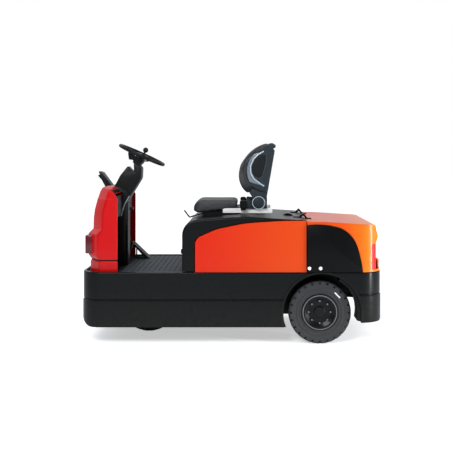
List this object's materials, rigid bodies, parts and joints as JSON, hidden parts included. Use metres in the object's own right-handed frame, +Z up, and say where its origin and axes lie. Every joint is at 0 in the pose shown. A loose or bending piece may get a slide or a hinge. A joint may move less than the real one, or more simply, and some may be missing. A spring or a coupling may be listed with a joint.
{
  "type": "electric tow tractor",
  "caption": "Seated three-wheel electric tow tractor with black skirts, red front cowl, orange rear body, tipping seat hood and a rear tow jaw.",
  "frame": {"origin": "centre of the bounding box in plan, on the floor under the tyres", "axes": "+Z up, -X the way it drives, +Y to the driver's right"},
  "size_m": [2.056, 1, 1.3679],
  "materials": {
    "skirt_black": "semi-gloss",
    "cowl_red": "gloss",
    "panel_orange": "gloss",
    "plastic_black": "fine grain",
    "hood_black": "satin",
    "mat_grey": "ribbed",
    "rubber_black": "matt",
    "tyre_black": "matt",
    "rim_steel": "satin",
    "frame_steel": "satin",
    "bright_steel": "brushed",
    "cast_iron": "as cast",
    "chrome_trim": "polished",
    "lamp_maroon": "clear gloss",
    "lamp_red": "clear gloss",
    "seat_vinyl": "soft grain",
    "shell_grey": "fine grain",
    "belt_black": "gloss"
  },
  "bodies": {
    "root": {"skirt_front": "skirt_black", "skirt_rear": "skirt_black", "wheel_arches": "rubber_black", "chassis_frame": "frame_steel", "deck_plate": "frame_steel", "floor_mat": "mat_grey", "front_cowl": "cowl_red", "front_cowl_base": "cowl_red", "headlamps": "lamp_maroon", "dash_panel": "plastic_black", "leg_console": "plastic_black", "column_shroud": "plastic_black", "column_head": "plastic_black", "document_clip": "plastic_black", "pedals": "bright_steel", "side_panels": "panel_orange", "rear_cover": "panel_orange", "rear_side_covers": "hood_black", "tail_lamps": "lamp_red", "hood_hinge": "bright_steel", "rear_axle": "cast_iron", "drive_motor": "cast_iron", "battery": "plastic_black", "turntable_ring": "bright_steel", "tow_hitch": "cast_iron", "tow_pin": "bright_steel"},
    "steer": {"steer_fork": "frame_steel", "front_axle_pin": "bright_steel"},
    "front_wheel": {"front_tyre": "tyre_black", "front_rim": "rim_steel"},
    "rear_left_wheel": {"rear_left_tyre": "tyre_black", "rear_left_rim": "rim_steel"},
    "rear_right_wheel": {"rear_right_tyre": "tyre_black", "rear_right_rim": "rim_steel"},
    "steering_wheel": {"steering_wheel": "plastic_black", "steering_knob": "plastic_black"},
    "hood": {"seat_hood": "hood_black", "hood_latch": "plastic_black", "seat_base": "plastic_black", "seat_rails": "chrome_trim", "seat_lever": "plastic_black", "seat_cushion": "seat_vinyl", "backrest_shell": "shell_grey", "backrest_pad": "seat_vinyl", "recliner": "plastic_black", "seat_belt": "belt_black"}
  },
  "joints": [
    {"name": "rear_left_roll", "type": "hinge", "parent": "root", "child": "rear_left_wheel", "pos_m": [0.598, -0.386, 0.2125], "axis": [0, 1, 0], "continuous": true},
    {"name": "rear_right_roll", "type": "hinge", "parent": "root", "child": "rear_right_wheel", "pos_m": [0.598, 0.386, 0.2125], "axis": [0, 1, 0], "continuous": true},
    {"name": "steer", "type": "hinge", "parent": "root", "child": "steer", "pos_m": [-0.61, 0, 0.446], "axis": [0, 0, 1], "range_deg": [-75, 75]},
    {"name": "front_roll", "type": "hinge", "parent": "steer", "child": "front_wheel", "pos_m": [-0.61, 0, 0.2125], "axis": [0, 1, 0], "continuous": true},
    {"name": "steering_wheel_turn", "type": "hinge", "parent": "root", "child": "steering_wheel", "pos_m": [-0.671, 0, 1.282], "axis": [0.4147, 0, 0.91], "range_deg": [-450, 450]},
    {"name": "hood_tip", "type": "hinge", "parent": "root", "child": "hood", "pos_m": [0.5, 0, 0.862], "axis": [0, 1, 0], "range_deg": [0, 60]}
  ],
  "couplings": [
    {"joint": "steering_wheel_turn", "follows": "steer", "ratio": 6}
  ]
}
